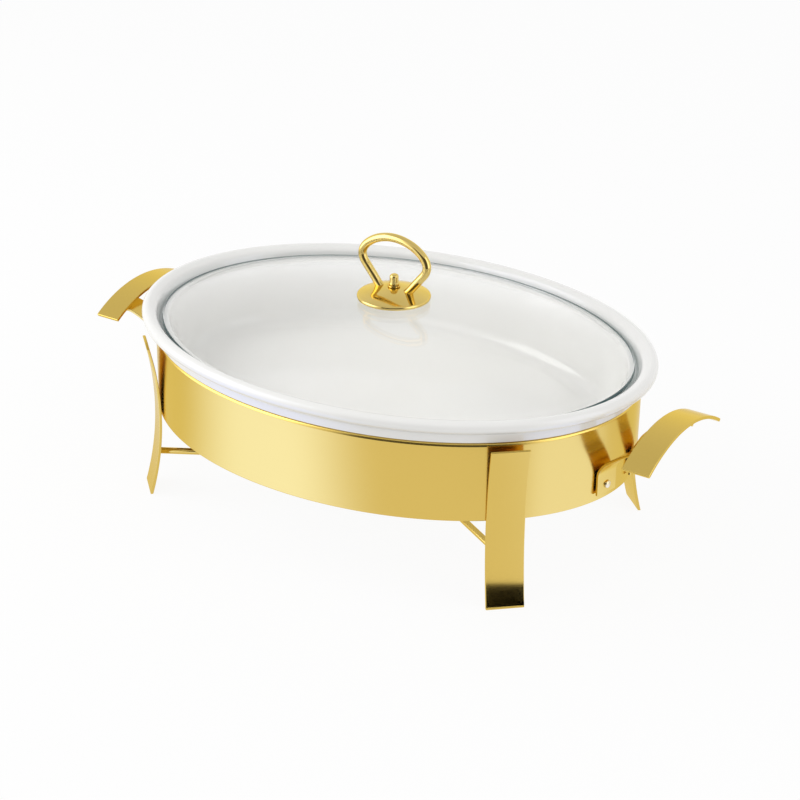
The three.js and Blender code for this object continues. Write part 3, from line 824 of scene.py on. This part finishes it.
def add_knob(gold, rubber, steel):
    """Domed plate, wire ring and cap nut, clamped through the glass by one screw."""
    low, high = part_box("knob_plate")
    bore = 2.8 * MM
    radius = high.x
    edge = low.z + 2.5 * MM
    rise = high.z - edge
    middle = (low.z + edge) / 2
    plate = [(bore, middle, 0), (bore, low.z, 0.2 * MM), (radius - 0.3 * MM, low.z, 0.3 * MM),
             (radius, edge - 0.9 * MM, 0.8 * MM), (radius - 0.8 * MM, edge, 0.8 * MM),
             (radius * 0.75, edge + 0.37 * rise, 3 * MM),
             (radius * 0.5, edge + 0.74 * rise, 4 * MM),
             (radius * 0.25, high.z, 3 * MM), (bore, high.z, 0.2 * MM), (bore, middle, 0)]
    piece("knob_plate", turned_mesh("knob_plate", plate, 128), gold, "lid")
    add_knob_ring(gold)

    low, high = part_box("knob_cap_nut")
    barrel = high.x - 0.45 * MM
    nut = [(0, low.z, 0), (high.x, low.z, 0.25 * MM), (high.x, low.z + 1.2 * MM, 0.3 * MM),
           (barrel, low.z + 1.5 * MM, 0.2 * MM), (barrel, high.z - 1.4 * MM, 0.5 * MM),
           (high.x - 1.2 * MM, high.z, 1 * MM), (0, high.z, 0)]
    piece("knob_cap_nut", turned_mesh("knob_cap_nut", nut, 64), gold, "lid")

    washers = (("knob_washer_upper", gold, "knob_gold"),
               ("knob_seal_upper", rubber, "seal_rubber"),
               ("knob_seal_lower", rubber, "seal_rubber"),
               ("knob_washer_lower", steel, "screw_steel"))
    for node, material, slot in washers:
        low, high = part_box(node)
        middle = (low.z + high.z) / 2
        ease = 0.25 * MM
        ring = [(bore, middle, 0), (bore, low.z, ease), (high.x, low.z, ease),
                (high.x, high.z, ease), (bore, high.z, ease), (bore, middle, 0)]
        piece(node, turned_mesh(node, ring, 64), material, "lid")

    low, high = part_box("knob_screw")
    head = low.z + 2.6 * MM
    screw = [(0, low.z, 0), (3.4 * MM, low.z, 0.6 * MM), (4.5 * MM, low.z + 1.3 * MM, 0.5 * MM),
             (4.5 * MM, head, 0.15 * MM), (2.4 * MM, head, 0), (2.4 * MM, high.z, 0.3 * MM),
             (0, high.z, 0)]
    piece("knob_screw", turned_mesh("knob_screw", screw, 48), steel, "lid")


# One side of the ring's centre line, as millimetres from the axis and above the underside
# of the plate.
RING_SIDE = ((8.6, 3.2), (12.6, 7.4), (16.8, 12.6), (20.8, 17.4), (24.1, 21.6), (25.4, 25.8),
             (24.4, 30), (20.9, 34.2), (14.8, 38.2), (7.4, 40.7), (0, 41.5))


def add_knob_ring(gold):
    """Open loop of polished wire whose feet stand on the plate."""
    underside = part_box("knob_plate")[0].z
    low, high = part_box("knob_ring")
    wire = (high.y - low.y) / 2
    side = [(x * MM, 0, underside + z * MM) for x, z in RING_SIDE]
    mirrored = [(-x, y, z) for x, y, z in reversed(side[:-1])]
    path = spline(side + mirrored, 8)
    mesh = wire_mesh("knob_ring", path, wire, Vector((0, 1, 0)))
    piece("knob_ring", mesh, gold, "lid")


# ---------------------------------------------------------------- tealight

def add_tealight(foil, wax, wick_cotton):
    """Foil cup with a rolled lip, wax with a dished top, and a wick held by a tab."""
    low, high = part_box("tealight_shell")
    radius = high.x
    wall = 0.4 * MM
    shell = [(0, low.z, 0), (radius - 0.4 * MM, low.z, 0.8 * MM),
             (radius - 0.3 * MM, high.z - 1.2 * MM, 0.2 * MM),
             (radius, high.z - 0.9 * MM, 0.2 * MM), (radius, high.z, 0.3 * MM),
             (radius - 0.6 * MM, high.z, 0.2 * MM), (radius - 0.7 * MM, low.z + wall, 0.5 * MM),
             (0, low.z + wall, 0)]
    mesh = turned_mesh("tealight_shell", shell)
    piece("tealight_shell", mesh, foil, "tealight")

    low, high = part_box("tealight_wax")
    bore = 1.1 * MM
    inner = high.x
    recess = 6.4 * MM
    filling = [(bore, high.z - 3 * MM, 0), (bore, low.z + 2 * MM, 0), (recess, low.z + 2 * MM, 0),
               (recess, low.z, 0), (inner, low.z, 0.3 * MM), (inner, high.z, 0.2 * MM),
               (inner - 2 * MM, high.z - 0.7 * MM, 1.5 * MM),
               (bore + 3 * MM, high.z - 0.9 * MM, 2 * MM),
               (bore, high.z - 0.4 * MM, 0.3 * MM), (bore, high.z - 3 * MM, 0)]
    mesh = turned_mesh("tealight_wax", filling)
    piece("tealight_wax", mesh, wax, "tealight")

    low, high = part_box("tealight_wick_tab")
    tab = [(0, low.z, 0), (high.x, low.z, 0.1 * MM), (high.x, high.z, 0.1 * MM), (0, high.z, 0)]
    mesh = turned_mesh("tealight_wick_tab", tab, 48)
    piece("tealight_wick_tab", mesh, foil, "tealight")

    low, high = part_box("tealight_wick")
    wick = [(0, low.z, 0), (high.x, low.z, 0.2 * MM), (high.x, high.z, 0.5 * MM), (0, high.z, 0)]
    mesh = turned_mesh("tealight_wick", wick, 24)
    piece("tealight_wick", mesh, wick_cotton, "tealight")


add_camera()
add_floor()
add_cards()
add_light()

stand_finish = satin_gold()
add_band(stand_finish)
add_legs(stand_finish)
add_rods(stand_finish)
add_handles(stand_finish)
add_arms(stand_finish)
add_rivets(pale_rivet())
add_candle_cup(stand_finish)
add_dish(white_glaze())
add_lid_glass(clear_glass(), glass_edge_painted_dark())
add_knob(polished_gold(), silicone(), zinc_steel())
add_tealight(thin_foil(), paraffin(), cotton())
